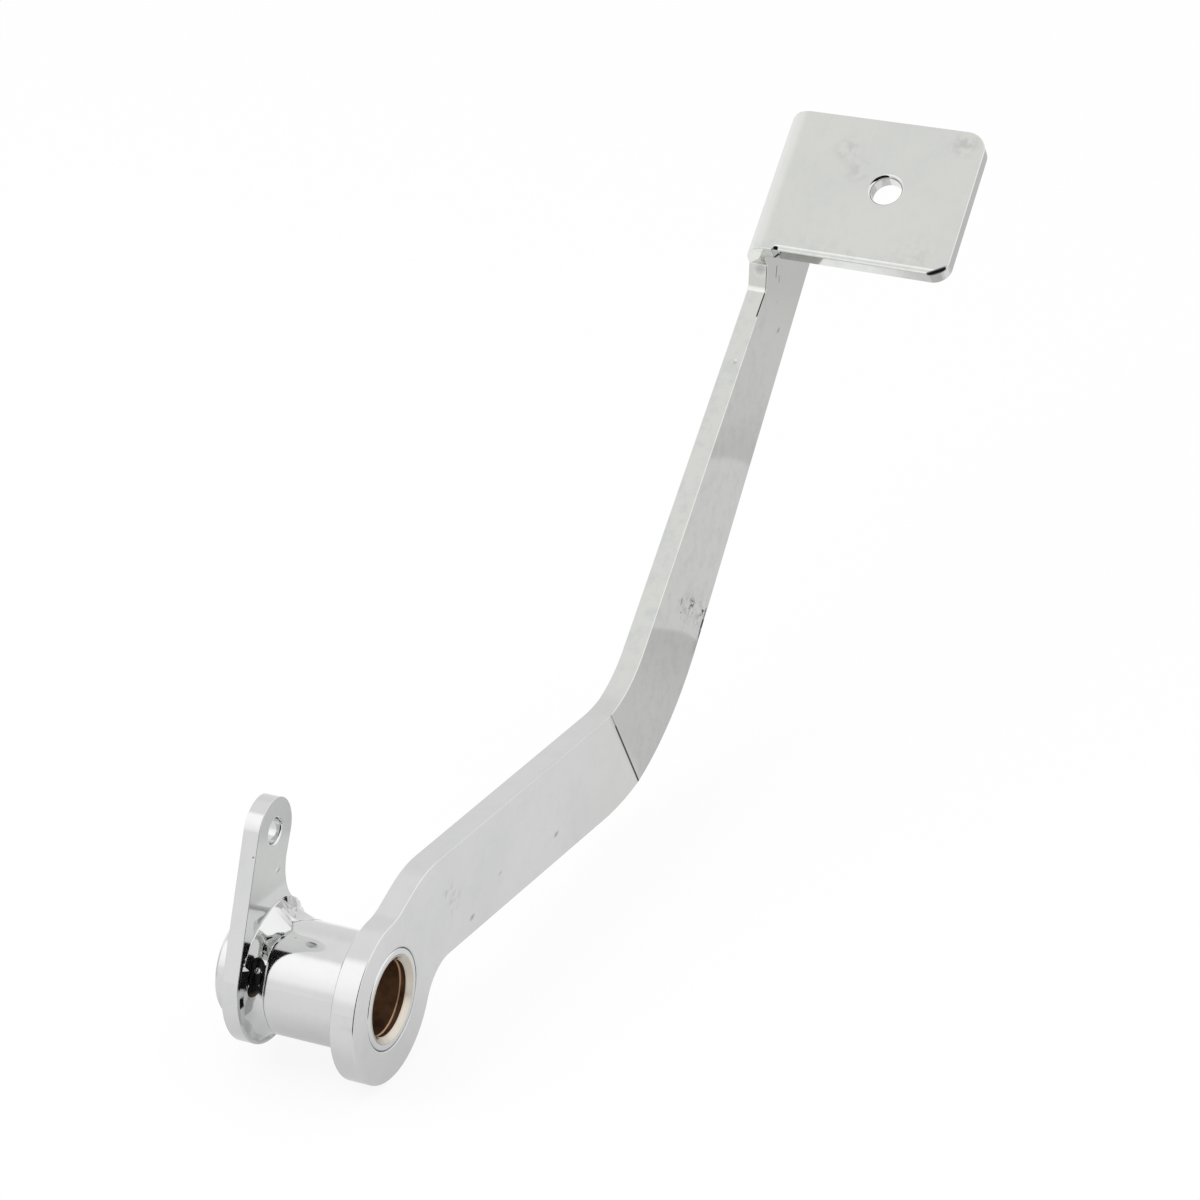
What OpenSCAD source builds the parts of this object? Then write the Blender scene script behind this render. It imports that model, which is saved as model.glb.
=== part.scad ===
// Rear brake pedal of a motorcycle, in millimetres.
// A flat steel arm with a pivot eye, one long bend, a slight set inwards and a folded foot pad.
// A pivot tube with two bushes passes through the eye and carries a short brake lever.
// The pivot axis is Y, the origin is the middle of the pivot bore, -Y is the outer side
// of the machine, +X runs forward along the arm and +Z is up.

/* [Pivot] */
// Length of the pivot tube, from the outer face of the eye to its inner end
hub_length = 42; // [38:0.5:46]
// Bore of the bushes, for a three quarter inch pivot shaft
bore_d = 19.05; // [18.5:0.05:19.6]
// Outer diameter of the bushes
bush_od = 22.2; // [21.6:0.1:22.8]
// Length of each bush
bush_length = 18.5; // [15:0.5:19]
// Width of the lead-in at the mouth of each bush
bush_lead = 1.35; // [0.6:0.05:1.4]
// Depth of the fine oil groove behind the mouth of each bush
groove_at = 2.4; // [2:0.1:4]
// Outer diameter of the tube between the eye and the lever
tube_od = 29.3; // [28.4:0.1:30]
// Diameter of the turned ends of the tube
spigot_od = 25.4; // [25:0.1:26]

/* [Eye] */
// Outer radius of the eye
eye_r = 20.8; // [19.8:0.1:22]
// How far the middle of the eye lies below its bore
eye_drop = 0.5; // [0:0.1:1]
// Radius between the eye and the lower edge of the arm
eye_fillet_low = 12; // [8:1:16]
// Radius between the eye and the shoulder of the upper edge
eye_fillet_top = 15; // [10:1:20]
// Broken edge around the hole of the eye
eye_edge = 0.45; // [0.3:0.05:0.7]

/* [Arm] */
// Thickness of the plate at the eye, a quarter of an inch
plate = 6.35; // [5.5:0.05:7]
// Thickness of the upper arm just past the crease, where it has been ground flat
blade_start = 6; // [5.4:0.05:6.3]
// Thickness of the upper arm at the foot pad
blade_end = 5.4; // [5:0.1:5.8]
// Width of the lower arm, carried back to the pivot
lower_width = 27.9; // [27:0.1:29]
// Angle by which the lower arm widens towards the bend, in degrees
lower_flare = 0.4; // [0.2:0.05:0.6]
// Height of the upper edge of the lower arm over the pivot, square to that edge
lower_rise = 27.1; // [26.4:0.1:27.8]
// Slope of the lower arm, in degrees below level
lower_slope = 4.1; // [3:0.1:5]
// Distance of the bend from the pivot, along level
bend_at = 136; // [126:1:146]
// Slope of the upper arm's upper edge, in degrees above level
upper_slope = 35.7; // [33:0.1:38]
// Angle by which the upper arm narrows towards the pad, in degrees
upper_taper = 4.9; // [4:0.1:5.5]
// Width of the upper arm where its edges would meet at the bend
upper_width = 36.6; // [35:0.1:38]
// Inner radius of the bend
bend_r_top = 38; // [28:1:60]
// Outer radius of the bend
bend_r_low = 82; // [66:1:95]
// Set of the upper arm inwards across the crease, in degrees
set_angle = 3; // [1:0.5:6]
// Lean of the crease from upright, in degrees
crease_lean = 33.8; // [28:0.2:40]

/* [Foot pad] */
// Length of the upper arm's edge from the bend to the foot of the fold
blade_length = 127; // [115:1:140]
// Length of the pad along the arm
pad_length = 44.8; // [40:0.2:50]
// Reach of the pad outwards from the arm's outer face
pad_reach = 52.6; // [46:0.2:58]
// Thickness of the pad, drawn thinner than the arm in the fold
pad_plate = 4.2; // [3.6:0.1:4.8]
// Height of the pad's face over the arm's edge
pad_rise = 13.5; // [12.5:0.1:15]
// Outer radius of the fold
fold_r = 7; // [6:0.1:8.5]
// Length and height of the ramp at the foot of the fold
ramp = 5.6; // [4.5:0.1:6.5]
// Corner radius of the pad at its free side
pad_corner = 4.5; // [3:0.5:7]
// How far the near end of the pad runs out of square
pad_skew = 2; // [0:0.1:2.4]
// How far the far end of the pad runs out of square
pad_far_skew = 1; // [0:0.1:1.8]
// Hole in the pad, for the bolt of a rubber cover
pad_hole_d = 8.4; // [6.6:0.1:10]
// Broken edge around the pad's hole
pad_hole_edge = 0.6; // [0.3:0.1:1]

/* [Brake lever] */
// Distance of the lever's outer face from the outer face of the eye
lever_at = 30.4; // [28:0.1:32]
// Thickness of the lever
lever_t = 4.3; // [3.6:0.1:5]
// Radius of the lever's round end
lever_r = 18.3; // [17.8:0.1:19]
// How far the middle of the round end lies behind the pivot axis
lever_back = 3.6; // [3.2:0.1:4]
// How far the middle of the round end lies above the pivot axis
lever_up = 2.6; // [2:0.1:2.8]
// Distance from the pivot axis to the clevis pin hole
clevis_radius = 39.2; // [37:0.1:43]
// Lean of the lever back from upright, in degrees
lever_lean = 0.8; // [0:0.1:4]
// Radius of the lever's head
head_r = 8.5; // [7.5:0.1:9]
// Clevis pin hole
clevis_d = 6.4; // [5:0.1:7]
// Slope of the lever's front edge, in degrees from upright
lever_front = 24; // [20:0.5:26]
// Radius where the front edge runs out into the round
lever_fillet = 12.5; // [10:0.5:14]

/* [Welds] */
// Leg of the weld between the tube and the eye
arm_bead = 2.5; // [1.8:0.1:3.2]
// Leg of the weld between the tube and the lever where it is heaviest, at the lever's back
lever_bead = 4.4; // [3.4:0.1:5]
// How far that weld is heaped towards the back, so that it runs out to nothing at the front
lever_bead_back = 2.6; // [2:0.1:3]

/* [Hidden] */
$fn = 96;
steel = [0.80, 0.81, 0.81];
weld_steel = [0.70, 0.71, 0.71];
bronze = [0.52, 0.38, 0.26];
face_y = -hub_length / 2;
tube_r = tube_od / 2;
spigot_r = spigot_od / 2;
eps = 0.01;
// Share of its radius by which a fillet bites into the edge that it leaves
edge_bite = 0.0015;
// How far the end of a straight edge lies inside the round that it runs into
inset = 0.02;
lever_round = [-lever_back, lever_up];

// Points and directions in the plane of the arm, as [forward, up]
function dir(a) = [cos(a), sin(a)];
function left_of(v) = [-v[1], v[0]];
function unit(v) = v / norm(v);
// Where the line through p along u meets the line through q along w
function meet(p, u, q, w) = p + u * (cross(q - p, w) / cross(u, w));

// The four edges of the arm
low_dir = dir(-lower_slope);
low_edge_dir = dir(-lower_slope - lower_flare);
top_dir = dir(upper_slope);
under_dir = dir(upper_slope + upper_taper);
low_top_p = left_of(low_dir) * lower_rise;
low_under_p = left_of(low_edge_dir) * (lower_rise - lower_width);
bend_top = meet(low_top_p, low_dir, [bend_at, 0], [0, 1]);
upper_under_p = bend_top - left_of(top_dir) * upper_width;
bend_low = meet(low_under_p, low_edge_dir, upper_under_p, under_dir);
low_start = meet(low_under_p, low_edge_dir, [2, 0], [0, 1]);

// Stations on the upper arm: s along its upper edge from the bend, v square to it
function blade(s, v) = bend_top + top_dir * s + left_of(top_dir) * v;
pad_from = blade_length + 0.95 * ramp;
pad_to = pad_from + pad_length;
web_to = pad_to - 4;
under_end = meet(upper_under_p, under_dir, blade(web_to, 0), left_of(top_dir));

// The shoulder where the upper edge drops to the eye
shoulder_dir = dir(20);
shoulder = meet([0, lower_rise - 8], shoulder_dir, low_top_p, low_dir);

// The crease line crosses the arm just before the bend
crease_p = meet(low_top_p, low_dir, [bend_at - 13, 0], [0, 1]);
crease_dir = [sin(crease_lean), -cos(crease_lean)];

// Outline of the arm: each corner is [forward, up, radius]
arm_corners = [
    [low_start[0], low_start[1], 0],
    [bend_low[0], bend_low[1], bend_r_low],
    [under_end[0], under_end[1], 13],
    [blade(web_to, ramp)[0], blade(web_to, ramp)[1], 0],
    [blade(blade_length + ramp, ramp)[0], blade(blade_length + ramp, ramp)[1], 0],
    [blade(blade_length, 0)[0], blade(blade_length, 0)[1], 2.5],
    [bend_top[0], bend_top[1], bend_r_top],
    [shoulder[0], shoulder[1], 30],
    [0, lower_rise - 8, 0]
];

// Setting out of one rounded corner from its neighbours
function spot(c) = [c[0], c[1]];
function turn(a, b, c) = cross(b - a, c - b);
function run_in(a, b, c, r) = r * tan(acos(unit(b - a) * unit(c - b)) / 2);
function touch_in(a, b, c, r) = b + unit(a - b) * run_in(a, b, c, r);
function touch_out(a, b, c, r) = b + unit(c - b) * run_in(a, b, c, r);
function centre(a, b, c, r) = b + unit(unit(a - b) + unit(c - b)) * norm([r, run_in(a, b, c, r)]);

// A plate with true arcs at the corners of its outline, run anticlockwise, from y0 to y1.
// Each rounded corner is first cut straight across, then gets or loses the cap of its circle.
module rounded_slab(corners, y0, y1) {
    n = len(corners);
    prev = [for (i = [0 : n - 1]) spot(corners[(i + n - 1) % n])];
    here = [for (i = [0 : n - 1]) spot(corners[i])];
    next = [for (i = [0 : n - 1]) spot(corners[(i + 1) % n])];
    rounded = [for (i = [0 : n - 1]) corners[i][2] > 0];
    outer = [for (i = [0 : n - 1]) turn(prev[i], here[i], next[i]) > 0];
    difference() {
        union() {
            slab(y0, y1)
                polygon([
                    for (i = [0 : n - 1])
                        let (r = corners[i][2])
                        each rounded[i]
                            ? [touch_in(prev[i], here[i], next[i], r), touch_out(prev[i], here[i], next[i], r)]
                            : [here[i]]
                ]);
            for (i = [0 : n - 1])
                if (rounded[i] && outer[i])
                    slab(y0, y1)
                        corner_cap(prev[i], here[i], next[i], corners[i][2]);
        }
        for (i = [0 : n - 1])
            if (rounded[i] && !outer[i])
                slab(y0 - 1, y1 + 1)
                    corner_cap(prev[i], here[i], next[i], corners[i][2]);
    }
}

// The part of a corner's circle beyond the straight cut, and a little around it.
// The circle is a little larger than the true tangent one and passes just outside both
// touching points, so that it crosses the edges before them.
module corner_cap(a, b, c, r) {
    t1 = touch_in(a, b, c, r);
    t2 = touch_out(a, b, c, r);
    half = norm(t2 - t1) / 2;
    mid = (t1 + t2) / 2;
    m = unit(b - mid);
    along = unit(t2 - t1);
    reach = norm(b - mid) + 1;
    over = min(5, half / 3);
    cap_r = 1.06 * r;
    intersection() {
        polygon([
            t1 - along * over - m * over,
            t2 + along * over - m * over,
            t2 + along * over + m * reach,
            t1 - along * over + m * reach
        ]);
        translate(mid - m * (sqrt(cap_r * cap_r - half * half) - inset / 4))
            circle(cap_r);
    }
}

// Distance along the edge at which such a fillet leaves it
function circle_to_edge_run(big, off, r) =
    sqrt(pow(big + (1 - edge_bite) * r, 2) - pow(off + (1 - edge_bite) * r, 2));

// Fillet between a circle of radius big at the origin and a straight edge.
// The edge lies at distance off along its outward normal n, and runs away along u.
module circle_to_edge(big, n, off, u, r) {
    bite = edge_bite * r;
    along = circle_to_edge_run(big, off, r);
    c = n * (off + r - bite) + u * along;
    difference() {
        polygon([[0, 0], c, n * (off - 1) + u * along]);
        translate(c)
            circle(r);
    }
}

// Stands a flat [forward, up] shape on edge, from y0 to y1
module slab(y0, y1) {
    translate([0, y1, 0])
        rotate([90, 0, 0])
            linear_extrude(y1 - y0)
                children();
}

// Turned shape about the pivot axis: [radius, distance from the outer face]
module turned() {
    translate([0, face_y, 0])
        rotate([-90, 0, 0])
            rotate_extrude()
                children();
}

// Outline of the arm and its eye, as a thick block from y0 to y1
module arm_block(y0, y1) {
    rounded_slab(arm_corners, y0, y1);
    slab(y0, y1)
        translate([0, -eye_drop])
            circle(eye_r);
    translate([0, 0, -eye_drop]) {
        slab(y0, y1)
            circle_to_edge(eye_r, -left_of(low_edge_dir), lower_width - lower_rise - eye_drop, low_edge_dir, eye_fillet_low);
        slab(y0, y1)
            circle_to_edge(eye_r, left_of(shoulder_dir), (lower_rise - 8 + eye_drop) * cos(20), shoulder_dir, eye_fillet_top);
    }
}

// Turns the upper arm inwards about the crease in the outer face
module set_inwards() {
    translate([crease_p[0], 0, crease_p[1]])
        rotate(a = -set_angle, v = [crease_dir[0], 0, crease_dir[1]])
            translate([bend_top[0] - crease_p[0], 0, bend_top[1] - crease_p[1]])
                rotate([0, -upper_slope, 0])
                    children();
}

// The outer face is two planes that meet in the crease, and the inner face is three:
// level at the eye, thinned along the upper arm, and even again behind the pad.
module flat_sides() {
    thin = atan((blade_start - blade_end) / blade_length);
    translate([-60, -30, -80])
        cube([460, 30, 320]);
    set_inwards()
        translate([-200, -30, -200])
            cube([460, 30, 400]);
    intersection() {
        translate([-60, plate, -80])
            cube([460, 40, 320]);
        set_inwards()
            translate([0, blade_start, 0])
                rotate([0, 0, -thin])
                    translate([-200, 0, -200])
                        cube([460, 40, 400]);
        set_inwards()
            translate([-200, blade_end, -200])
                cube([460, 40, 400]);
    }
}

// Section of the folded pad: [inwards, up over the arm's edge]
module fold_section() {
    inner = fold_r - blade_end;
    corner = [blade_end - fold_r, pad_rise - fold_r];
    drawn = blade_end - pad_plate;
    translate([0, ramp - 2])
        square([blade_end, pad_rise - fold_r - ramp + 2]);
    intersection() {
        difference() {
            translate(corner)
                circle(fold_r);
            translate(corner + [0, drawn])
                circle(inner);
            translate(corner - [1, 1])
                square([inner + 1, drawn + 1]);
        }
        translate(corner)
            square(fold_r + 1);
    }
    translate([-pad_reach - 3, pad_rise - pad_plate])
        square([pad_reach + 3 + corner[0], pad_plate]);
}

// Plan of the pad: [along the arm, inwards]
pad_plan = [
    [pad_from, blade_end + 1, 0],
    [pad_from - pad_skew, -pad_reach, pad_corner],
    [pad_to - pad_far_skew, -pad_reach + 0.3, pad_corner + 1.5],
    [pad_to, blade_end, 3]
];

module folded_pad() {
    difference() {
        intersection() {
            translate([pad_from - 4, 0, 0])
                rotate([90, 0, 90])
                    linear_extrude(pad_length + 6)
                        fold_section();
            rotate([-90, 0, 0])
                rounded_slab(pad_plan, -pad_rise - 2, 10);
        }
        pad_hole_cut();
    }
}

module pad_hole_cut() {
    translate([pad_from + pad_length / 2 + 0.1, -28.9, 0]) {
        translate([0, 0, pad_rise - pad_plate - 1])
            cylinder(d = pad_hole_d, h = pad_plate + 2);
        translate([0, 0, pad_rise - pad_hole_edge])
            cylinder(r1 = pad_hole_d / 2, r2 = pad_hole_d / 2 + pad_hole_edge + eps, h = pad_hole_edge + eps);
    }
}

module pedal_arm() {
    color(steel)
        translate([0, face_y, 0]) {
            difference() {
                arm_block(-1, plate + 22);
                flat_sides();
                rotate([-90, 0, 0]) {
                    translate([0, 0, -1])
                        cylinder(r = spigot_r, h = plate + 2);
                    translate([0, 0, -eps])
                        cylinder(r1 = spigot_r + eye_edge + eps, r2 = spigot_r, h = eye_edge + eps);
                }
            }
            set_inwards()
                folded_pad();
        }
}

module pivot_tube() {
    color(steel)
        turned()
            difference() {
                union() {
                    translate([0, plate])
                        square([tube_r, lever_at - plate]);
                    polygon([
                        [0, 0],
                        [spigot_r - 0.35, 0],
                        [spigot_r, 0.35],
                        [spigot_r, hub_length - 0.8],
                        [spigot_r - 0.8, hub_length],
                        [0, hub_length]
                    ]);
                }
                translate([-1, -1])
                    square([bush_od / 2 + 1, hub_length + 2]);
            }
}

// One bush with its mouth at 0, running inwards
module bush_profile() {
    bore_r = bore_d / 2;
    polygon([
        [bore_r + bush_lead, 0],
        [bush_od / 2, 0],
        [bush_od / 2, bush_length],
        [bore_r + 0.3, bush_length],
        [bore_r, bush_length - 0.3],
        [bore_r, groove_at + 0.6],
        [bore_r + 0.3, groove_at + 0.3],
        [bore_r, groove_at],
        [bore_r, bush_lead]
    ]);
}

module bush_outboard() {
    color(bronze)
        turned()
            bush_profile();
}

module bush_inboard() {
    color(bronze)
        turned()
            translate([0, hub_length])
                mirror([0, 1])
                    bush_profile();
}

// Flat shape of the lever around the middle of its round end
module lever_outline() {
    head = dir(90 + lever_lean) * clevis_radius - lever_round;
    back_n = dir(atan2(head[1], head[0]) + acos((lever_r - head_r) / norm(head)));
    front_n = dir(-lever_front);
    front_off = front_n * head + head_r;
    front_from = 0.9 * circle_to_edge_run(lever_r, front_off, lever_fillet);
    circle(lever_r);
    translate(head)
        circle(head_r);
    polygon([
        [0, 0],
        front_n * front_off + left_of(front_n) * front_from,
        head + front_n * (head_r - inset),
        head + back_n * (head_r - inset),
        back_n * (lever_r - inset)
    ]);
    circle_to_edge(lever_r, front_n, front_off, left_of(front_n), lever_fillet);
}

module brake_lever() {
    head = dir(90 + lever_lean) * clevis_radius;
    color(steel)
        translate([0, face_y, 0])
            difference() {
                slab(lever_at, lever_at + lever_t)
                    translate(lever_round)
                        lever_outline();
                rotate([-90, 0, 0])
                    translate([0, 0, lever_at - 1])
                        cylinder(r = spigot_r, h = lever_t + 2);
                translate([head[0], lever_at, head[1]])
                    rotate([-90, 0, 0]) {
                        translate([0, 0, -1])
                            cylinder(d = clevis_d, h = lever_t + 2);
                        translate([0, 0, -eps])
                            cylinder(r1 = clevis_d / 2 + 0.4 + eps, r2 = clevis_d / 2, h = 0.4 + eps);
                    }
            }
}

// A hollow bead in the corner of the tube and a flat face
module bead_profile(out, along) {
    r = along - 0.3;
    difference() {
        square([out, along]);
        translate([0.15 + r, along])
            circle(r);
    }
}

module arm_weld() {
    color(weld_steel)
        turned()
            translate([tube_r, plate])
                bead_profile(arm_bead, arm_bead);
}

// Heaped bead: its rings are set towards the lever's back, and the tube passes through them
module lever_weld() {
    wide = tube_r + lever_bead - lever_bead_back;
    heap = unit(lever_round) * lever_bead_back;
    color(weld_steel)
        difference() {
            translate([heap[0], face_y + lever_at, heap[1]])
                rotate([90, 0, 0])
                    rotate_extrude()
                        polygon([
                            [0, 0],
                            [wide, 0],
                            [wide - 0.35 * lever_bead, 0.55 * lever_bead],
                            [wide - lever_bead - 0.3, lever_bead],
                            [0, lever_bead]
                        ]);
            turned()
                translate([0, lever_at - lever_bead - 1])
                    square([tube_r, lever_bead + 2]);
        }
}

pedal_arm();
pivot_tube();
bush_outboard();
bush_inboard();
brake_lever();
arm_weld();
lever_weld();
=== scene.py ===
import math

import bpy
from bpy.props import FloatProperty, FloatVectorProperty, PointerProperty
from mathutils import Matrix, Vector, noise


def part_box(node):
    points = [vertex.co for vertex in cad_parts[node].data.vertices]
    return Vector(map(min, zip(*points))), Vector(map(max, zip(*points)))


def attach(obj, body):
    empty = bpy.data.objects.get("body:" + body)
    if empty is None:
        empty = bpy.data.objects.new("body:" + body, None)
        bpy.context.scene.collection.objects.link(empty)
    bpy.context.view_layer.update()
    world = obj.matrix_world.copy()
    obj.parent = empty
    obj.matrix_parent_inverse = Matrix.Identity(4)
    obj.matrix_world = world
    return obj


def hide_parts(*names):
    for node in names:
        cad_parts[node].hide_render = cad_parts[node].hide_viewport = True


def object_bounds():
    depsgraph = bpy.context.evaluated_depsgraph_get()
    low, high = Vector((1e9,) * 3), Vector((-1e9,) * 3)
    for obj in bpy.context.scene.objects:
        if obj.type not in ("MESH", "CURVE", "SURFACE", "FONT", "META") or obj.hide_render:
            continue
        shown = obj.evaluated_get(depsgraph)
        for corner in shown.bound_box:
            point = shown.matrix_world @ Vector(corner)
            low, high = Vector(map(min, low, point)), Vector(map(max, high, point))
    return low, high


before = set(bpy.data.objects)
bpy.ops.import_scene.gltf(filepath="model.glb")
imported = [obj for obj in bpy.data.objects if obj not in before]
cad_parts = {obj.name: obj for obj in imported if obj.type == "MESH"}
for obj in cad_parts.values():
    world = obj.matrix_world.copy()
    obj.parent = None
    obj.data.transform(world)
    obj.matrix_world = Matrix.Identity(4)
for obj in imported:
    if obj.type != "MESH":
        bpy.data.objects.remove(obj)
cad_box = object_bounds()

bl_info = {
    "name": "Rear brake pedal",
    "version": (1, 0, 0),
    "blender": (4, 5, 0),
    "location": "3D View > Sidebar > Brake pedal",
    "description": "Chrome, bronze, weld beads and a studio for a rear brake pedal",
    "category": "Object",
}

MM = 0.001
# The three numbers of a place on the pedal
FORWARD, INWARDS, UP = 0, 1, 2

# Places that the solids give: the tube's two ends and radius, the lever's outer face
# and the back of the eye
HUB_LOW, HUB_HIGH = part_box("pivot_tube")
OUTER_END = HUB_LOW.y
INNER_END = HUB_HIGH.y
TUBE_RADIUS = HUB_HIGH.z
LEVER_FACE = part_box("brake_lever")[0].y
EYE_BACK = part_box("arm_weld")[0].y

# The upper arm, where the mottle is stronger and paints the plate darker as shade: where it starts
# behind the crease, and where it ends at the pad's fold
UPPER_START = (130 * MM, 150 * MM)
UPPER_END = (242 * MM, 236 * MM)
# The plate turns a little warmer between these two places on the lower arm
WARM_FROM = (100 * MM, 150 * MM)

# The pad's near end: the direction that its end face looks in, and how far out it lies
PAD_END_SIDE = Vector((-0.8129, -0.0201, -0.5821))
PAD_END = -0.2522
# The edge there is rolled over this width and depth, past the fold and not beyond the pad
ROLL_WIDTH = 1.9 * MM
ROLL_DEPTH = 0.9 * MM
ROLL_PAST_FOLD = (-16.5 * MM, -18.5 * MM)
ROLL_BEYOND = (4 * MM, 2 * MM)

# Pits in the plate, as [forward, inwards, up] in millimetres, radius and darkness
PITS = (
    ((91.3, -21.0, 0.0), 1.1, 0.9),
    ((43.1, -21.0, 0.6), 1.1, 0.9),
    ((58.9, -21.0, 5.0), 0.8, 0.5),
    ((247.5, -13.9, 76.8), 1.0, 0.8),
    ((220.2, -13.1, 77.9), 0.8, 0.5),
    ((0.2, 9.4, 28.3), 0.7, 0.6),
    ((-10.5, 9.9, 36.8), 0.5, 0.35),
    ((239.5, -11.6, 97.0), 2.4, 0.6),
    ((240.0, -14.6, 92.5), 1.2, 0.5),
)
PIT_DEPTH = 0.18 * MM
# How many times longer than wide the pits are
PIT_DRAWN = 1.9

# Torn, blackened scratches on the upper arm, in the same way
SCRATCHES = (
    ((174.0, -18.6, 27.0), 3.2, 0.9),
    ((181.0, -18.4, 23.5), 3.4, 1.0),
    ((188.5, -18.1, 20.0), 3.4, 1.0),
    ((188.0, -18.2, 14.5), 2.6, 1.0),
)

# Broad dull patches where the polish is uneven, in the same way
DULL_PATCHES = (
    ((30.2, -21.0, 14.2), 4.5, 0.5),
    ((33.5, -21.0, 10.2), 5.0, 0.5),
    ((178.0, -18.5, 25.0), 7.0, 0.8),
    ((187.0, -18.2, 19.0), 7.0, 0.9),
    ((187.0, -18.2, 14.0), 4.5, 1.0),
    ((184.0, -18.4, 9.5), 4.5, 1.0),
    ((263.3, -26.8, 125.5), 6.0, 0.35),
    ((258.7, -31.6, 122.2), 6.0, 0.3),
    ((269.5, -57.9, 129.9), 6.0, 0.5),
    ((240.0, -55.0, 109.5), 9.0, 0.2),
)
PATCH_DEPTH = 0.04 * MM

# Dark lines, as two ends [forward, inwards, up] in millimetres, width and darkness: painted shade
# along the crease on the outer face, a painted shadow edge on the pad's near end face, a black line
# at the pad's near corner, and scratches on the fold and on the upper arm
SCRATCH_AND_SHADE_LINES = (
    # Painted shade in the crease on the outer face, in two lines
    ((126.4, -21.0, 15.4), (143.2, -21.0, -11.4), 0.5, 0.95),
    ((123.9, -21.0, 19.4), (134.2, -21.0, 3.0), 0.35, 0.5),
    ((238.6, -13.7, 91.2), (232.0, -14.0, 86.4), 0.3, 0.9),
    ((235.5, -61.0, 105.9), (238.2, -65.8, 107.7), 1.1, 1.0),
    # Painted edge of the shade on the pad's near end face
    ((236.0, -18.8, 104.3), (239.0, -14.2, 99.5), 0.45, 1.0),
    ((247.4, -13.3, 95.8), (246.4, -13.4, 92.3), 0.3, 0.9),
    ((249.0, -13.3, 92.2), (248.7, -13.4, 90.0), 0.25, 0.8),
    ((246.5, -13.5, 86.0), (245.9, -13.5, 82.5), 0.25, 0.7),
    ((183.9, -18.5, 10.2), (187.2, -18.4, 14.6), 0.8, 0.7),
    ((187.0, -18.4, 14.4), (189.4, -18.3, 16.4), 0.9, 0.95),
    ((189.2, -18.4, 16.4), (191.6, -18.2, 18.6), 0.5, 0.9),
    ((188.0, -18.3, 19.6), (190.2, -18.2, 18.2), 0.35, 0.9),
)

# Where the weld between the lever and the tube carries a patch of painted dark reflection and burn,
# with one spot left clean for a bright glint. The patch is black above the first of two heights, as
# painted dark reflection, and brown with burnt scale below the second.
WELD_BURN_AND_REFLECTION = (
    ((-13.6, 8.4, 9.4), 3.2, 1.0),
    ((-15.0, 8.4, 6.6), 3.4, 1.0),
    ((-15.9, 8.3, 3.8), 2.8, 0.9),
)
WELD_GLINT = (-14.0, 8.0, 8.2)
SCALE_HEIGHT = (3.8 * MM, 2.2 * MM)
WELD_RELIEF = 0.12 * MM

# The lever's bead: angle around the pivot, leg on the lever and leg on the tube in millimetres,
# and how full the bead is, from 0 for a hollow one to 1 for a straight slope
LEVER_BEAD = (
    (0, 0.1, 0.3, 0), (25, 0.4, 0.6, 0), (42, 1.8, 3.2, 0), (54, 3.4, 6.0, 0),
    (62, 4.1, 8.0, 0), (72, 4.6, 7.0, 0), (82, 5.1, 4.8, 0.4), (89, 5.4, 3.8, 0.8),
    (95, 5.6, 4.5, 0.8), (101, 5.7, 5.2, 0.8), (108, 5.7, 4.6, 1.0), (116, 5.9, 3.6, 1.1),
    (125, 6.3, 3.0, 1.1), (135, 6.8, 2.8, 0.7), (146, 6.9, 3.1, 0.2), (157, 6.6, 3.2, 0.1),
    (170, 6.3, 3.1, 0.1), (185, 5.7, 3.2, 0), (205, 4.6, 3.4, 0), (225, 3.2, 3.2, 0),
    (245, 1.8, 2.4, 0), (270, 0.5, 1.0, 0), (300, 0.1, 0.3, 0), (360, 0.1, 0.3, 0),
)
# The eye's bead, in the same way
EYE_BEAD = (
    (0, 2.0, 2.2, 0.4), (90, 2.2, 2.6, 0.6), (125, 2.0, 2.7, 0.6), (150, 1.7, 1.6, 0.7),
    (185, 1.6, 1.5, 0.6), (240, 2.0, 2.0, 0.4), (360, 2.0, 2.2, 0.4),
)
BEAD_STEPS_AROUND = 288
BEAD_STEPS_ACROSS = 13
# The bead's root: its depth inside the tube, and how far along the bead it lies
ROOT_DEPTH = 0.3 * MM
ROOT_SHARE = 0.3
# How closely the lumps in a bead follow each other, and the leg that carries them in full
LUMP_SCALE = 170.0
LUMP_LEG = 2 * MM

# The bushes: how deep their bright mouth reaches, how deep the oil groove lies,
# and the radii between the mouth and the bore, and between the bore and the groove
MOUTH_DEPTH = (0.9 * MM, 2.0 * MM)
GROOVE_DEPTH = (3.4 * MM, 2.9 * MM)
BORE_RADIUS = (10.3 * MM, 9.7 * MM)
GROOVE_RADIUS = (9.55 * MM, 9.7 * MM)
LATHE_RELIEF = 0.01 * MM

# Edges sharper than this angle are rounded, on faces joined again from their facets
SHARP_EDGE = math.radians(24)
FLAT_FACE = math.radians(0.6)
JOIN_WITHIN = 0.002 * MM

# The tent's open side: the level direction of its middle, the one square to that,
# how wide it is against its distance, and how high it reaches
OPEN_SIDE = Vector((-0.9066, -0.422, 0.0))
OPEN_ASIDE = Vector((-0.422, 0.9066, 0.0))
OPEN_WIDTH = 0.75
OPEN_TOP = (0.96, 0.92)
# The tent's panels: direction of the middle, and where the panel starts and is full
KEY_PANEL = ((0.25, -0.85, 0.47), 0.6, 0.85)
SIDE_PANEL = ((-0.65, 0.37, 0.66), 0.84, 0.94)
INNER_PANEL = ((0.0, 1.0, 0.0), 0.5, 0.9)
DIM_PANEL = ((0.87, 0.37, 0.32), 0.8, 0.95)
# How bright the tent is, and what the inner and the dim panel change
TENT = 1.03
INNER_LIFT = 0.14
DIM_DROP = 0.08
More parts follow.
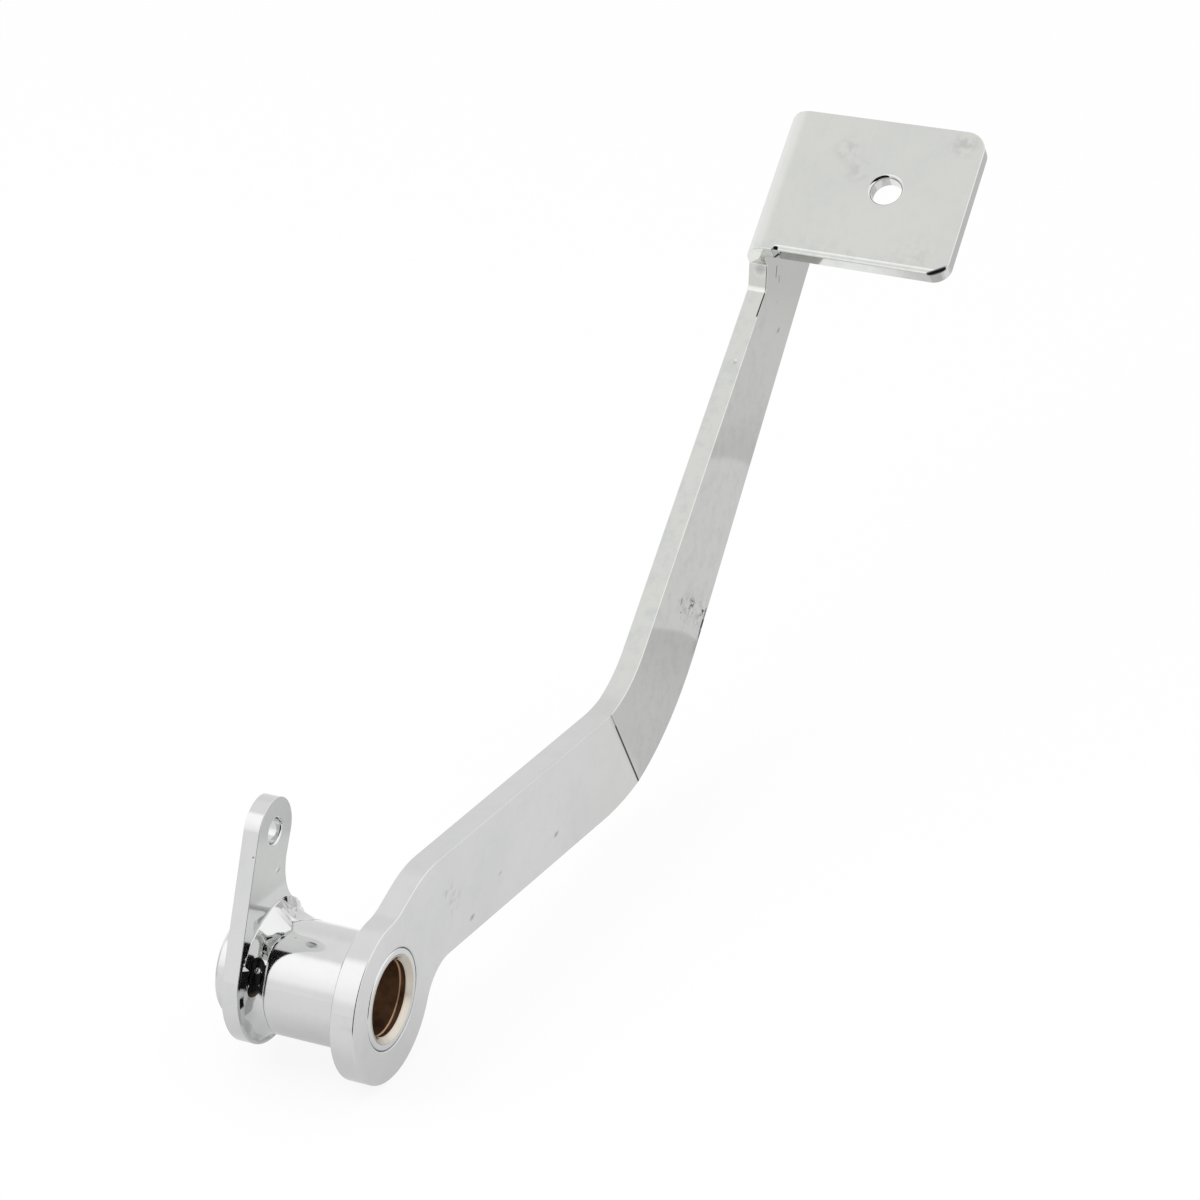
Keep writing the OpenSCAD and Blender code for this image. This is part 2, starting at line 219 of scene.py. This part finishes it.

# The floor's size, and the tone near the pivot that metal mirrors, with its painted steps of shade
# and
# light further on: direction, start, end and change
FLOOR_RADIUS = 1.6
FLOOR_SIDES = 96
FLOOR_NEAR = 0.93
FLOOR_STEPS = (
    ((0.537, 0.844, 0.0), 0.061, 0.065, -0.27),
    ((0.947, 0.322, 0.0), 0.180, 0.222, -0.12),
    ((0.947, 0.322, 0.0), 0.223, 0.2255, 0.235),
    ((0.986, 0.164, 0.0), 0.353, 0.357, -0.2),
    ((0.986, 0.164, 0.0), 0.357, 0.40, 0.11),
    ((0.986, 0.164, 0.0), 0.44, 0.50, -0.1),
)
# The mirrored floor carries a painted shadow under the hub, in a spot in millimetres, and painted
# light behind the arm
UNDER_HUB = ((8.0, 0.0, 0.0), 65.0, 0.3)
UNDER_HUB_CHANGE = -0.2
BEHIND_ARM_CHANGE = 0.5
PAST_HUB = (50 * MM, 80 * MM)
BEHIND_ARM = (-20 * MM, 0.0)
# How far from the pivot the open side starts on the floor
OPEN_FROM = (60 * MM, 100 * MM)
# The share of plain glow in the floor that the camera and metal see. The rest is lit paper,
# which carries the pedal's shadow.
FLOOR_SEEN = 0.86
FLOOR_MIRRORED = 0.7

# The soft box and the camera
BOX_SIDE = 0.7
BOX_PLACE = Vector((-0.45, 0.25, 0.75))
BOX_AIM = Vector((0.1, 0.0, 0.0))
CAMERA_PLACE = (-0.99890, -0.54076, 0.65856)
CAMERA_DOWN = 26.13
CAMERA_TURN = -65.04
CAMERA_LENS = 162.63
CAMERA_SENSOR = 36.0

WHITE = (1.0, 1.0, 1.0, 1.0)


class Wire:
    """A value in a shader that the usual operators work on."""

    def __init__(self, paint, socket):
        self.paint = paint
        self.socket = socket

    def maths(self, operation, first, *others):
        """One Math node on numbers or wires."""
        inputs = dict(enumerate((first, *others)))
        return self.paint.node("ShaderNodeMath", {"operation": operation}, inputs)

    def __add__(self, other):
        return self.maths("ADD", self, other)

    __radd__ = __add__

    def __sub__(self, other):
        return self.maths("SUBTRACT", self, other)

    def __rsub__(self, other):
        return self.maths("SUBTRACT", other, self)

    def __mul__(self, other):
        return self.maths("MULTIPLY", self, other)

    __rmul__ = __mul__

    def __pow__(self, power):
        return self.maths("POWER", self, power)

    def __abs__(self):
        return self.maths("ABSOLUTE", self)

    def most(self, other):
        """The larger of two values."""
        return self.maths("MAXIMUM", self, other)

    def least(self, other):
        """The smaller of two values."""
        return self.maths("MINIMUM", self, other)


class Paint:
    """Builds one tree of shader nodes."""

    def __init__(self, tree):
        self.tree = tree
        tree.nodes.clear()

    def node(self, kind, settings=None, inputs=None, out=0):
        """A node with its settings and its sockets' values or wires, as a wire from one output."""
        made = self.tree.nodes.new(kind)
        for name, value in (settings or {}).items():
            setattr(made, name, value)
        for key, value in (inputs or {}).items():
            if isinstance(value, Wire):
                self.tree.links.new(value.socket, made.inputs[key])
            else:
                made.inputs[key].default_value = value
        return Wire(self, made.outputs[out]) if made.outputs else made

    def place(self):
        """Where a point is on the pedal, in metres."""
        return self.node("ShaderNodeTexCoord", out="Object")

    def part(self, vector, axis):
        """One of a vector's three numbers."""
        return self.node("ShaderNodeSeparateXYZ", inputs={0: vector}, out=axis)

    def stretched(self, vector, factors):
        """A vector times three factors."""
        return self.node("ShaderNodeVectorMath", {"operation": "MULTIPLY"}, {0: vector, 1: factors})

    def noise(self, vector, scale, detail=2.0, roughness=0.5, stretch=(1, 1, 1)):
        """Noise from 0 to 1. A low factor in stretch draws its grain out in that direction."""
        drawn = self.stretched(vector, stretch)
        values = {"Vector": drawn, "Scale": scale, "Detail": detail, "Roughness": roughness}
        return self.node("ShaderNodeTexNoise", inputs=values)

    def ramp(self, value, low, high, bottom=0.0, top=1.0):
        """A smooth step from bottom at low to top at high."""
        settings = {"interpolation_type": "SMOOTHSTEP"}
        values = {0: value, 1: low, 2: high, 3: bottom, 4: top}
        return self.node("ShaderNodeMapRange", settings, values)

    def distance(self, vector, point):
        """How far a vector is from a point, in metres."""
        settings = {"operation": "DISTANCE"}
        return self.node("ShaderNodeVectorMath", settings, {0: vector, 1: tuple(point)}, out=1)

    def dot(self, vector, direction):
        """How far a vector reaches along a direction."""
        settings = {"operation": "DOT_PRODUCT"}
        return self.node("ShaderNodeVectorMath", settings, {0: vector, 1: tuple(direction)}, out=1)

    def from_axis(self, vector):
        """How far a vector is from the pivot's axis, in metres."""
        forward, up = self.part(vector, FORWARD), self.part(vector, UP)
        return (forward * forward + up * up) ** 0.5

    def spot(self, vector, centre, radius, edge):
        """1 at the middle of a small ball, out to the share edge of its radius, and 0 outside it.

        Sizes are in millimetres.
        """
        away = self.distance(vector, Vector(centre) * MM)
        return self.ramp(away, radius * MM, edge * radius * MM)

    def line(self, vector, start, end, width):
        """1 on a straight line between two points and 0 beside it. Sizes are in millimetres."""
        first, last = Vector(start) * MM, Vector(end) * MM
        along = (last - first).normalized()
        half = (last - first).length / 2
        ahead = self.dot(vector, along) - first.dot(along)
        away = self.distance(vector, first)
        ends = self.ramp(abs(ahead - half), half, 0.84 * half)
        beside_squared = away * away - ahead * ahead
        return self.ramp(beside_squared, (width * MM) ** 2, (0.3 * width * MM) ** 2) * ends

    def mix(self, share, first, second):
        """Two colours mixed by a share."""
        values = {0: share, 6: first, 7: second}
        return self.node("ShaderNodeMix", {"data_type": "RGBA"}, values, out=2)

    def bump(self, height):
        """Surface relief of a height in metres."""
        values = {"Strength": 1.0, "Distance": 1.0, "Height": height}
        return self.node("ShaderNodeBump", inputs=values)

    def metal(self, tone, roughness, normal):
        """Ends a material in a bare metal."""
        values = {"Base Color": tone, "Roughness": roughness, "Metallic": 1.0, "Normal": normal}
        surface = self.node("ShaderNodeBsdfPrincipled", inputs=values)
        self.node("ShaderNodeOutputMaterial", inputs={"Surface": surface})


def new_paint(name):
    """A new material and the paint that fills it."""
    material = bpy.data.materials.new(name)
    material.use_nodes = True
    return material, Paint(material.node_tree)


def colour(value):
    """A property's colour as a shader's four numbers."""
    return (*value, 1.0)


def grey(level):
    """A grey as a shader's four numbers."""
    return colour((level, level, level))


def all_spots(paint, place, marks, edge, drawn=1.0):
    """The strongest of several spots, each times its own strength and drawn out forwards."""
    found = None
    squeezed = paint.stretched(place, (1 / drawn, 1.0, 1.0))
    for (forward, *others), radius, strength in marks:
        spot = paint.spot(squeezed, (forward / drawn, *others), radius, edge) * strength
        found = spot if found is None else found.most(spot)
    return found


def rolled_edge(paint, place):
    """1 at the rolled near edge of the pad and 0 on the rest of the plate."""
    out = paint.dot(place, PAD_END_SIDE)
    rolled = paint.ramp(out, PAD_END - ROLL_WIDTH, PAD_END)
    past, full = ROLL_BEYOND
    rolled = rolled * paint.ramp(out, PAD_END + past, PAD_END + full)
    return rolled * paint.ramp(paint.part(place, INWARDS), *ROLL_PAST_FOLD)


def chrome_plate(look):
    """Polished chrome on steel, with dull patches, pits, scratches and a slight ripple, and painted
    shade in the crease, on the pad's end and on the upper arm.
    """
    material, paint = new_paint("chrome_plate")
    place = paint.place()
    broken = paint.noise(place, scale=420.0, detail=3.0)
    cloud = paint.ramp(paint.noise(place, scale=26.0, detail=3.0), 0.42, 0.75)
    haze = paint.noise(place, scale=900.0)
    streaks = paint.noise(place, scale=300.0, detail=4.0, roughness=0.65, stretch=(0.8, 1.0, 0.9))
    torn = paint.noise(place, scale=620.0, detail=4.0, roughness=0.6, stretch=(0.45, 1.0, 1.0))

    patch = all_spots(paint, place, DULL_PATCHES, 0.0) * paint.ramp(broken, 0.42, 0.62)
    pits = all_spots(paint, place, PITS, 0.1, PIT_DRAWN)
    scratched = all_spots(paint, place, SCRATCHES, 0.0) * paint.ramp(broken, 0.4, 0.55)
    dark = paint.ramp(abs(torn - 0.5), scratched * 0.06, scratched * 0.02)
    # The lines add painted shade in the crease and on the pad's end to the scratches
    for start, end, width, strength in SCRATCH_AND_SHADE_LINES:
        dark = dark.most(paint.line(place, start, end, width) * strength)

    forward = paint.part(place, FORWARD)
    upper = paint.ramp(forward, *UPPER_START) * paint.ramp(forward, *UPPER_END)
    # The mottle is stronger on the upper arm, and there it paints the plate darker as painted shade
    mottle_and_upper_shade = paint.ramp(streaks, 0.42, 0.72) * (upper * 0.6 + 0.2)
    warm = paint.mix(paint.ramp(forward, *WARM_FROM), colour(look.plate_hub), colour(look.plate))
    clean = paint.mix(cloud * 0.35 + mottle_and_upper_shade, warm, colour(look.plate_cool))
    dulled = paint.mix(patch * 0.5, clean, colour(look.pit))
    pitted = paint.mix(pits * 0.65, dulled, colour(look.pit))
    # Scratches and the painted shade lines take the gap colour
    tone = paint.mix(dark, pitted, colour(look.gap))

    # What each fault adds to the roughness of the polish
    faults = haze * 0.02 + cloud * 0.02 + patch * 0.14 + pits * 0.1 + dark * 0.5
    ripple = paint.noise(place, scale=45.0, detail=1.0) * look.ripple + streaks * (look.ripple * 0.04)
    sunken = patch * broken * PATCH_DEPTH + pits * PIT_DEPTH + rolled_edge(paint, place) * ROLL_DEPTH
    paint.metal(tone, faults + look.roughness, paint.bump(ripple - sunken))
    return material


def weld_plate(look):
    """Chrome over a dressed weld: the same plate, with slow lumps, a painted dark reflection and
    brown scale.
    """
    material, paint = new_paint("chrome_weld")
    place = paint.place()
    lumps = paint.noise(place, scale=160.0)
    cloud = paint.ramp(paint.noise(place, scale=60.0), 0.4, 0.7)
    clean = paint.mix(cloud * 0.4, colour(look.plate_hub), colour(look.plate_cool))
    # The black of this patch is painted dark reflection, and the brown low down is scale
    burn_and_dark_reflection = paint.ramp(all_spots(paint, place, WELD_BURN_AND_REFLECTION, 0.0) + lumps * 0.4, 0.45, 0.5)
    burn_and_dark_reflection = burn_and_dark_reflection - burn_and_dark_reflection * paint.spot(place, WELD_GLINT, 0.9, 0.6)
    low = paint.ramp(paint.part(place, UP), *SCALE_HEIGHT)
    tone = paint.mix(burn_and_dark_reflection, clean, paint.mix(low, colour(look.gap), colour(look.scale)))
    roughness = cloud * 0.05 + look.roughness + burn_and_dark_reflection * 0.15
    paint.metal(tone, roughness, paint.bump(lumps * WELD_RELIEF))
    return material


def bush_bronze(look):
    """Turned bronze, bright at the mouth and dark with oil in the bore."""
    material, paint = new_paint("bush_bronze")
    place = paint.place()
    inwards = paint.part(place, INWARDS)
    inside = (inwards - OUTER_END).least(INNER_END - inwards)
    away = paint.from_axis(place)
    deep = paint.ramp(inside, *MOUTH_DEPTH)
    bore = paint.ramp(away, *BORE_RADIUS) * deep
    groove = paint.ramp(away, *GROOVE_RADIUS) * paint.ramp(inside, *GROOVE_DEPTH) * deep
    oil = paint.noise(place, scale=300.0, detail=3.0)
    mouth = paint.mix(oil * 0.25, colour(look.mouth), colour(look.groove))
    oiled = paint.mix(paint.ramp(oil, 0.4, 0.7), colour(look.bore), colour(look.bore_oil))
    tone = paint.mix(groove, paint.mix(bore, mouth, oiled), colour(look.groove))
    lathe = paint.noise(place, scale=200.0, stretch=(0.05, 22.0, 0.05))
    paint.metal(tone, bore * 0.2 + look.roughness, paint.bump(lathe * LATHE_RELIEF))
    return material


def shade_smooth(mesh):
    """Shades every face of a mesh smoothly."""
    for face in mesh.polygons:
        face.use_smooth = True


def round_edges(node, width):
    """Rounds a solid's sharp edges with modifiers, which leave its mesh alone."""
    joined = node.modifiers.new("Join facets", "WELD")
    joined.merge_threshold = JOIN_WITHIN
    flat = node.modifiers.new("Plain faces", "DECIMATE")
    flat.decimate_type = "DISSOLVE"
    flat.angle_limit = FLAT_FACE
    bevel = node.modifiers.new("Rounded edges", "BEVEL")
    bevel.width = width
    bevel.segments = 3
    bevel.limit_method = "ANGLE"
    bevel.angle_limit = SHARP_EDGE
    bevel.use_clamp_overlap = True
    bevel.miter_outer = "MITER_ARC"
    shade = node.modifiers.new("Even shading", "WEIGHTED_NORMAL")
    shade.keep_sharp = False
    shade.weight = 100
    shade_smooth(node.data)


def put_on(node, material):
    """Gives an object one material."""
    node.data.materials.clear()
    node.data.materials.append(material)


def bead_legs(stations, turn):
    """A bead's two legs, in metres, and its fullness at an angle in degrees around the pivot."""
    for (low, *before), (high, *after) in zip(stations, stations[1:]):
        if low <= turn <= high:
            share = (1 - math.cos(math.pi * (turn - low) / (high - low))) / 2
            out, along, full = (a + (b - a) * share for a, b in zip(before, after))
            return out * MM, along * MM, full
    raise ValueError("no station for this angle")


def bead_mesh(name, start, side, stations, lump, seed):
    """A hand-laid bead around the tube.

    The bead starts on a face at start along the pivot and runs to side, +1 or -1. stations
    give the bead's height on the face and its length on the tube for angles around the pivot.
    """
    points, faces = [], []
    for i in range(BEAD_STEPS_AROUND):
        turn = 2 * math.pi * i / BEAD_STEPS_AROUND
        out, along, full = bead_legs(stations, math.degrees(turn))
        ray = Vector((math.cos(turn), 0.0, math.sin(turn)))
        outwards = (ray + Vector((0.0, side, 0.0))).normalized()
        for j in range(BEAD_STEPS_ACROSS):
            t = j / (BEAD_STEPS_ACROSS - 1)
            swing = t * math.pi / 2
            height = out * ((1 - math.sin(swing)) * (1 - full) + (1 - t) * full)
            reach = along * ((1 - math.cos(swing)) * (1 - full) + t * full)
            at = ray * (TUBE_RADIUS + height) + Vector((0.0, start + side * reach, 0.0))
            middle = math.sin(math.pi * t) * min(1.0, out / LUMP_LEG)
            push = middle * lump * noise.noise(at * LUMP_SCALE + Vector((seed, 0.0, 0.0)))
            points.append(at + outwards * push)
        root = Vector((0.0, start + side * along * ROOT_SHARE, 0.0))
        points.append(ray * (TUBE_RADIUS - ROOT_DEPTH) + root)
    ring = BEAD_STEPS_ACROSS + 1
    for i in range(BEAD_STEPS_AROUND):
        here, there = i * ring, ((i + 1) % BEAD_STEPS_AROUND) * ring
        for j in range(ring):
            k = (j + 1) % ring
            face = (here + j, there + j, there + k, here + k)
            faces.append(face if side > 0 else face[::-1])
    mesh = bpy.data.meshes.new(name)
    mesh.from_pydata([tuple(p) for p in points], [], faces)
    mesh.validate()
    shade_smooth(mesh)
    piece = bpy.data.objects.new(name, mesh)
    bpy.context.scene.collection.objects.link(piece)
    return piece


class PedalChrome(bpy.types.PropertyGroup):
    """Colours and relief of the chrome plate."""

    plate: FloatVectorProperty(
        name="Plate", description="Colour of clean chrome", subtype="COLOR", size=3,
        default=(0.64, 0.645, 0.617), min=0.0, max=1.0)
    plate_hub: FloatVectorProperty(
        name="Plate at the hub", description="Colour of clean chrome around the pivot",
        subtype="COLOR", size=3, default=(0.65, 0.655, 0.65), min=0.0, max=1.0)
    # The cool plate also gives the upper arm its painted shade
    plate_cool: FloatVectorProperty(
        name="Cool plate", description="Colour of the slightly clouded chrome",
        subtype="COLOR", size=3, default=(0.56, 0.575, 0.57), min=0.0, max=1.0)
    pit: FloatVectorProperty(
        name="Pit", description="Colour in pits and dull patches", subtype="COLOR", size=3,
        default=(0.16, 0.165, 0.17), min=0.0, max=1.0)
    # The gap colour is also the painted shade in the crease and on the pad's end, and the black of
    # the painted dark reflection on the lever's weld
    gap: FloatVectorProperty(
        name="Gap", description="Colour in the scratches, in the creases and deep in the burn",
        subtype="COLOR", size=3, default=(0.012, 0.012, 0.012), min=0.0, max=1.0)
    scale: FloatVectorProperty(
        name="Scale", description="Colour of the brown scale in the weld's burnt hollow",
        subtype="COLOR", size=3, default=(0.10, 0.07, 0.05), min=0.0, max=1.0)
    roughness: FloatProperty(
        name="Roughness", description="Roughness of the polished plate", default=0.06,
        min=0.0, max=1.0, subtype="FACTOR")
    ripple: FloatProperty(
        name="Ripple", description="Height of the slow ripple that polishing leaves",
        default=0.00005, min=0.0, max=0.001, unit="LENGTH")
    edge: FloatProperty(
        name="Edge", description="Rounding of the plate's edges", default=0.0009,
        min=0.0, max=0.003, unit="LENGTH")
    fine_edge: FloatProperty(
        name="Fine edge", description="Rounding of turned edges", default=0.00022,
        min=0.0, max=0.001, unit="LENGTH")


class PedalBronze(bpy.types.PropertyGroup):
    """Colours of the bushes."""

    mouth: FloatVectorProperty(
        name="Mouth", description="Colour of the bright mouth", subtype="COLOR", size=3,
        default=(0.57, 0.545, 0.49), min=0.0, max=1.0)
    bore: FloatVectorProperty(
        name="Bore", description="Colour of the bore", subtype="COLOR", size=3,
        default=(0.45, 0.315, 0.21), min=0.0, max=1.0)
    bore_oil: FloatVectorProperty(
        name="Oiled bore", description="Colour of the bore where oil has darkened it",
        subtype="COLOR", size=3, default=(0.30, 0.195, 0.13), min=0.0, max=1.0)
    groove: FloatVectorProperty(
        name="Groove", description="Colour of the oil groove", subtype="COLOR", size=3,
        default=(0.45, 0.27, 0.16), min=0.0, max=1.0)
    roughness: FloatProperty(
        name="Roughness", description="Roughness of the turned bronze", default=0.2,
        min=0.0, max=1.0, subtype="FACTOR")


class PedalWelds(bpy.types.PropertyGroup):
    """Finish of the two weld beads."""

    lump: FloatProperty(
        name="Lumps", description="Height of the lumps in the beads", default=0.0005,
        min=0.0, max=0.002, unit="LENGTH")


class PedalStudio(bpy.types.PropertyGroup):
    """Floor and light."""

    floor_gap: FloatProperty(
        name="Floor gap", description="Distance of the floor below the pedal", default=0.0003,
        min=0.0, max=0.05, unit="LENGTH")
    floor_tone: FloatProperty(
        name="Floor", description="Paleness of the floor", default=0.9, min=0.0, max=1.0,
        subtype="FACTOR")
    softbox: FloatProperty(
        name="Soft box", description="Power of the soft box", default=2.2, min=0.0, max=50.0,
        unit="POWER")
    key: FloatProperty(
        name="Key panel", default=0.3, min=0.0, max=4.0,
        description="How much brighter the panel on the outer side is than the tent")
    side: FloatProperty(
        name="Side panel", default=0.4, min=0.0, max=4.0,
        description="How much brighter the panel over the lever is than the tent")
    dark_gap: FloatProperty(
        name="Dark gap", description="Paleness of the tent's open side", default=0.01,
        min=0.0, max=1.0, subtype="FACTOR")


class PEDAL_OT_plate(bpy.types.Operator):
    """Plates the arm, the tube and the lever, and rounds their edges."""

    bl_idname = "pedal.plate"
    bl_label = "Chrome plate"

    def execute(self, context):
        look = context.scene.pedal_chrome
        plate = chrome_plate(look)
        widths = {"pedal_arm": look.edge, "brake_lever": look.edge, "pivot_tube": look.fine_edge}
        for name, width in widths.items():
            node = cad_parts[name]
            put_on(node, plate)
            round_edges(node, width)
        return {"FINISHED"}


class PEDAL_OT_bushes(bpy.types.Operator):
    """Colours the two bushes."""

    bl_idname = "pedal.bushes"
    bl_label = "Bushes"

    def execute(self, context):
        bronze = bush_bronze(context.scene.pedal_bronze)
        for name in ("bush_outboard", "bush_inboard"):
            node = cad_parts[name]
            put_on(node, bronze)
            shade_smooth(node.data)
        return {"FINISHED"}


class PEDAL_OT_welds(bpy.types.Operator):
    """Lays the two beads in place of the plain rings."""

    bl_idname = "pedal.welds"
    bl_label = "Weld beads"

    def execute(self, context):
        lump = context.scene.pedal_welds.lump
        plate = weld_plate(context.scene.pedal_chrome)
        beads = (
            ("lever_bead", "lever_weld", LEVER_FACE, -1, LEVER_BEAD, 3.0),
            ("eye_bead", "arm_weld", EYE_BACK, 1, EYE_BEAD, 11.0),
        )
        for name, node, start, side, stations, seed in beads:
            bead = bead_mesh(name, start, side, stations, lump, seed)
            put_on(bead, plate)
            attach(bead, "root")
            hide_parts(node)
        return {"FINISHED"}


class PEDAL_OT_stage(bpy.types.Operator):
    """Makes the floor, the light, the surroundings and the camera."""

    bl_idname = "pedal.stage"
    bl_label = "Stage"

    def execute(self, context):
        studio = context.scene.pedal_studio
        make_floor(studio)
        make_surroundings(context.scene, studio)
        make_softbox(studio)
        make_camera(context.scene)
        context.scene.view_settings.view_transform = "Standard"
        return {"FINISHED"}


def open_side(paint, vector):
    """1 within the open side of the tent, seen from the pedal, and 0 beside it."""
    ahead, across = paint.dot(vector, OPEN_SIDE), paint.dot(vector, OPEN_ASIDE)
    return paint.ramp(abs(across) - ahead * OPEN_WIDTH, 0.0, -0.03)


def floor_paper(studio):
    """Pale paper, white to the camera, with the painted steps of shade and light, the painted shadow
    under the hub and the painted light behind the arm, all of which the plate mirrors.
    """
    material, paint = new_paint("floor_paper")
    camera = paint.node("ShaderNodeLightPath", out="Is Camera Ray")
    glossy = paint.node("ShaderNodeLightPath", out="Is Glossy Ray")
    place = paint.place()
    opened = open_side(paint, place) * paint.ramp(paint.dot(place, OPEN_SIDE), *OPEN_FROM)
    tone = FLOOR_NEAR
    for direction, start, end, step in FLOOR_STEPS:
        tone = tone + paint.ramp(paint.dot(place, direction), start, end, 0.0, step)
    # Painted shadow under the hub, and painted light behind the arm
    under = paint.spot(place, *UNDER_HUB) * UNDER_HUB_CHANGE
    past_hub = paint.ramp(paint.part(place, FORWARD), *PAST_HUB)
    behind = past_hub * paint.ramp(paint.part(place, INWARDS), *BEHIND_ARM) * BEHIND_ARM_CHANGE
    mirrored = paint.mix(opened, tone + under + behind, grey(studio.dark_gap))
    seen = paint.mix(glossy, WHITE, mirrored)
    paper = paint.node("ShaderNodeBsdfDiffuse", inputs={"Color": grey(studio.floor_tone)})
    glow = paint.node("ShaderNodeEmission", inputs={"Color": seen, "Strength": 1.0})
    share = camera * FLOOR_SEEN + glossy * (opened * (1 - FLOOR_MIRRORED) + FLOOR_MIRRORED)
    surface = paint.node("ShaderNodeMixShader", inputs={0: share, 1: paper, 2: glow})
    paint.node("ShaderNodeOutputMaterial", inputs={"Surface": surface})
    return material


def make_floor(studio):
    """A round floor just under the pedal."""
    middle = (cad_box[0] + cad_box[1]) / 2
    height = cad_box[0].z - studio.floor_gap
    points = []
    for i in range(FLOOR_SIDES):
        turn = 2 * math.pi * i / FLOOR_SIDES
        across, along = FLOOR_RADIUS * math.cos(turn), FLOOR_RADIUS * math.sin(turn)
        points.append((middle.x + across, middle.y + along, height))
    mesh = bpy.data.meshes.new("floor")
    mesh.from_pydata(points, [], [tuple(range(FLOOR_SIDES))])
    floor = bpy.data.objects.new("floor", mesh)
    bpy.context.scene.collection.objects.link(floor)
    put_on(floor, floor_paper(studio))


def make_surroundings(scene, studio):
    """A white tent with its panels and an open side, which only metal shows."""
    world = bpy.data.worlds.new("tent")
    scene.world = world
    world.use_nodes = True
    paint = Paint(world.node_tree)
    toward = paint.node("ShaderNodeTexCoord", out="Generated")
    glossy = paint.node("ShaderNodeLightPath", out="Is Glossy Ray")
    up = paint.part(toward, UP)
    key, side, inner, dim = (
        paint.ramp(paint.dot(toward, Vector(middle).normalized()), start, full)
        for middle, start, full in (KEY_PANEL, SIDE_PANEL, INNER_PANEL, DIM_PANEL))
    panels = key * studio.key + side * paint.ramp(up, 0.1, 0.8, 0.4, 1.0) * studio.side
    lit = panels + inner * INNER_LIFT + TENT - dim * DIM_DROP
    opened = open_side(paint, toward) * paint.ramp(up, *OPEN_TOP)
    tent = paint.mix(opened, lit, grey(studio.dark_gap))
    tone = paint.mix(glossy, WHITE, tent)
    background = paint.node("ShaderNodeBackground", inputs={"Color": tone, "Strength": 1.0})
    paint.node("ShaderNodeOutputWorld", inputs={"Surface": background})


def make_softbox(studio):
    """One large soft box over the viewer's side."""
    lamp = bpy.data.lights.new("soft_box", "AREA")
    lamp.shape = "RECTANGLE"
    lamp.size, lamp.size_y = BOX_SIDE, BOX_SIDE
    lamp.energy = studio.softbox
    box = bpy.data.objects.new("soft_box", lamp)
    bpy.context.scene.collection.objects.link(box)
    box.visible_glossy = False
    box.location = BOX_PLACE
    box.rotation_euler = (BOX_AIM - BOX_PLACE).to_track_quat("-Z", "Y").to_euler()


def make_camera(scene):
    """The photograph's viewpoint."""
    lens = bpy.data.cameras.new("camera")
    lens.sensor_width = CAMERA_SENSOR
    lens.lens = CAMERA_LENS
    camera = bpy.data.objects.new("camera", lens)
    scene.collection.objects.link(camera)
    camera.location = CAMERA_PLACE
    camera.rotation_euler = (math.radians(90 - CAMERA_DOWN), 0.0, math.radians(CAMERA_TURN))
    scene.camera = camera


class PEDAL_PT_panel(bpy.types.Panel):
    """Lists the pedal's groups of pieces with their sizes and colours."""

    bl_idname = "PEDAL_PT_panel"
    bl_label = "Brake pedal"
    bl_space_type = "VIEW_3D"
    bl_region_type = "UI"
    bl_category = "Brake pedal"

    def draw(self, context):
        scene = context.scene
        chrome = "plate plate_hub plate_cool pit gap scale roughness ripple edge fine_edge"
        groups = (
            ("pedal.plate", scene.pedal_chrome, chrome),
            ("pedal.bushes", scene.pedal_bronze, "mouth bore bore_oil groove roughness"),
            ("pedal.welds", scene.pedal_welds, "lump"),
            ("pedal.stage", scene.pedal_studio, "floor_gap floor_tone softbox key side dark_gap"),
        )
        for operator, values, names in groups:
            box = self.layout.box()
            box.operator(operator)
            for name in names.split():
                box.prop(values, name)


CLASSES = (
    PedalChrome, PedalBronze, PedalWelds, PedalStudio,
    PEDAL_OT_plate, PEDAL_OT_bushes, PEDAL_OT_welds, PEDAL_OT_stage, PEDAL_PT_panel,
)


def register():
    for cls in CLASSES:
        bpy.utils.register_class(cls)
    bpy.types.Scene.pedal_chrome = PointerProperty(type=PedalChrome)
    bpy.types.Scene.pedal_bronze = PointerProperty(type=PedalBronze)
    bpy.types.Scene.pedal_welds = PointerProperty(type=PedalWelds)
    bpy.types.Scene.pedal_studio = PointerProperty(type=PedalStudio)


def unregister():
    for name in ("pedal_chrome", "pedal_bronze", "pedal_welds", "pedal_studio"):
        delattr(bpy.types.Scene, name)
    for cls in reversed(CLASSES):
        bpy.utils.unregister_class(cls)


def main():
    """Registers the pedal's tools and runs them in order."""
    register()
    bpy.ops.pedal.stage()
    bpy.ops.pedal.plate()
    bpy.ops.pedal.bushes()
    bpy.ops.pedal.welds()


if __name__ == "__main__":
    main()
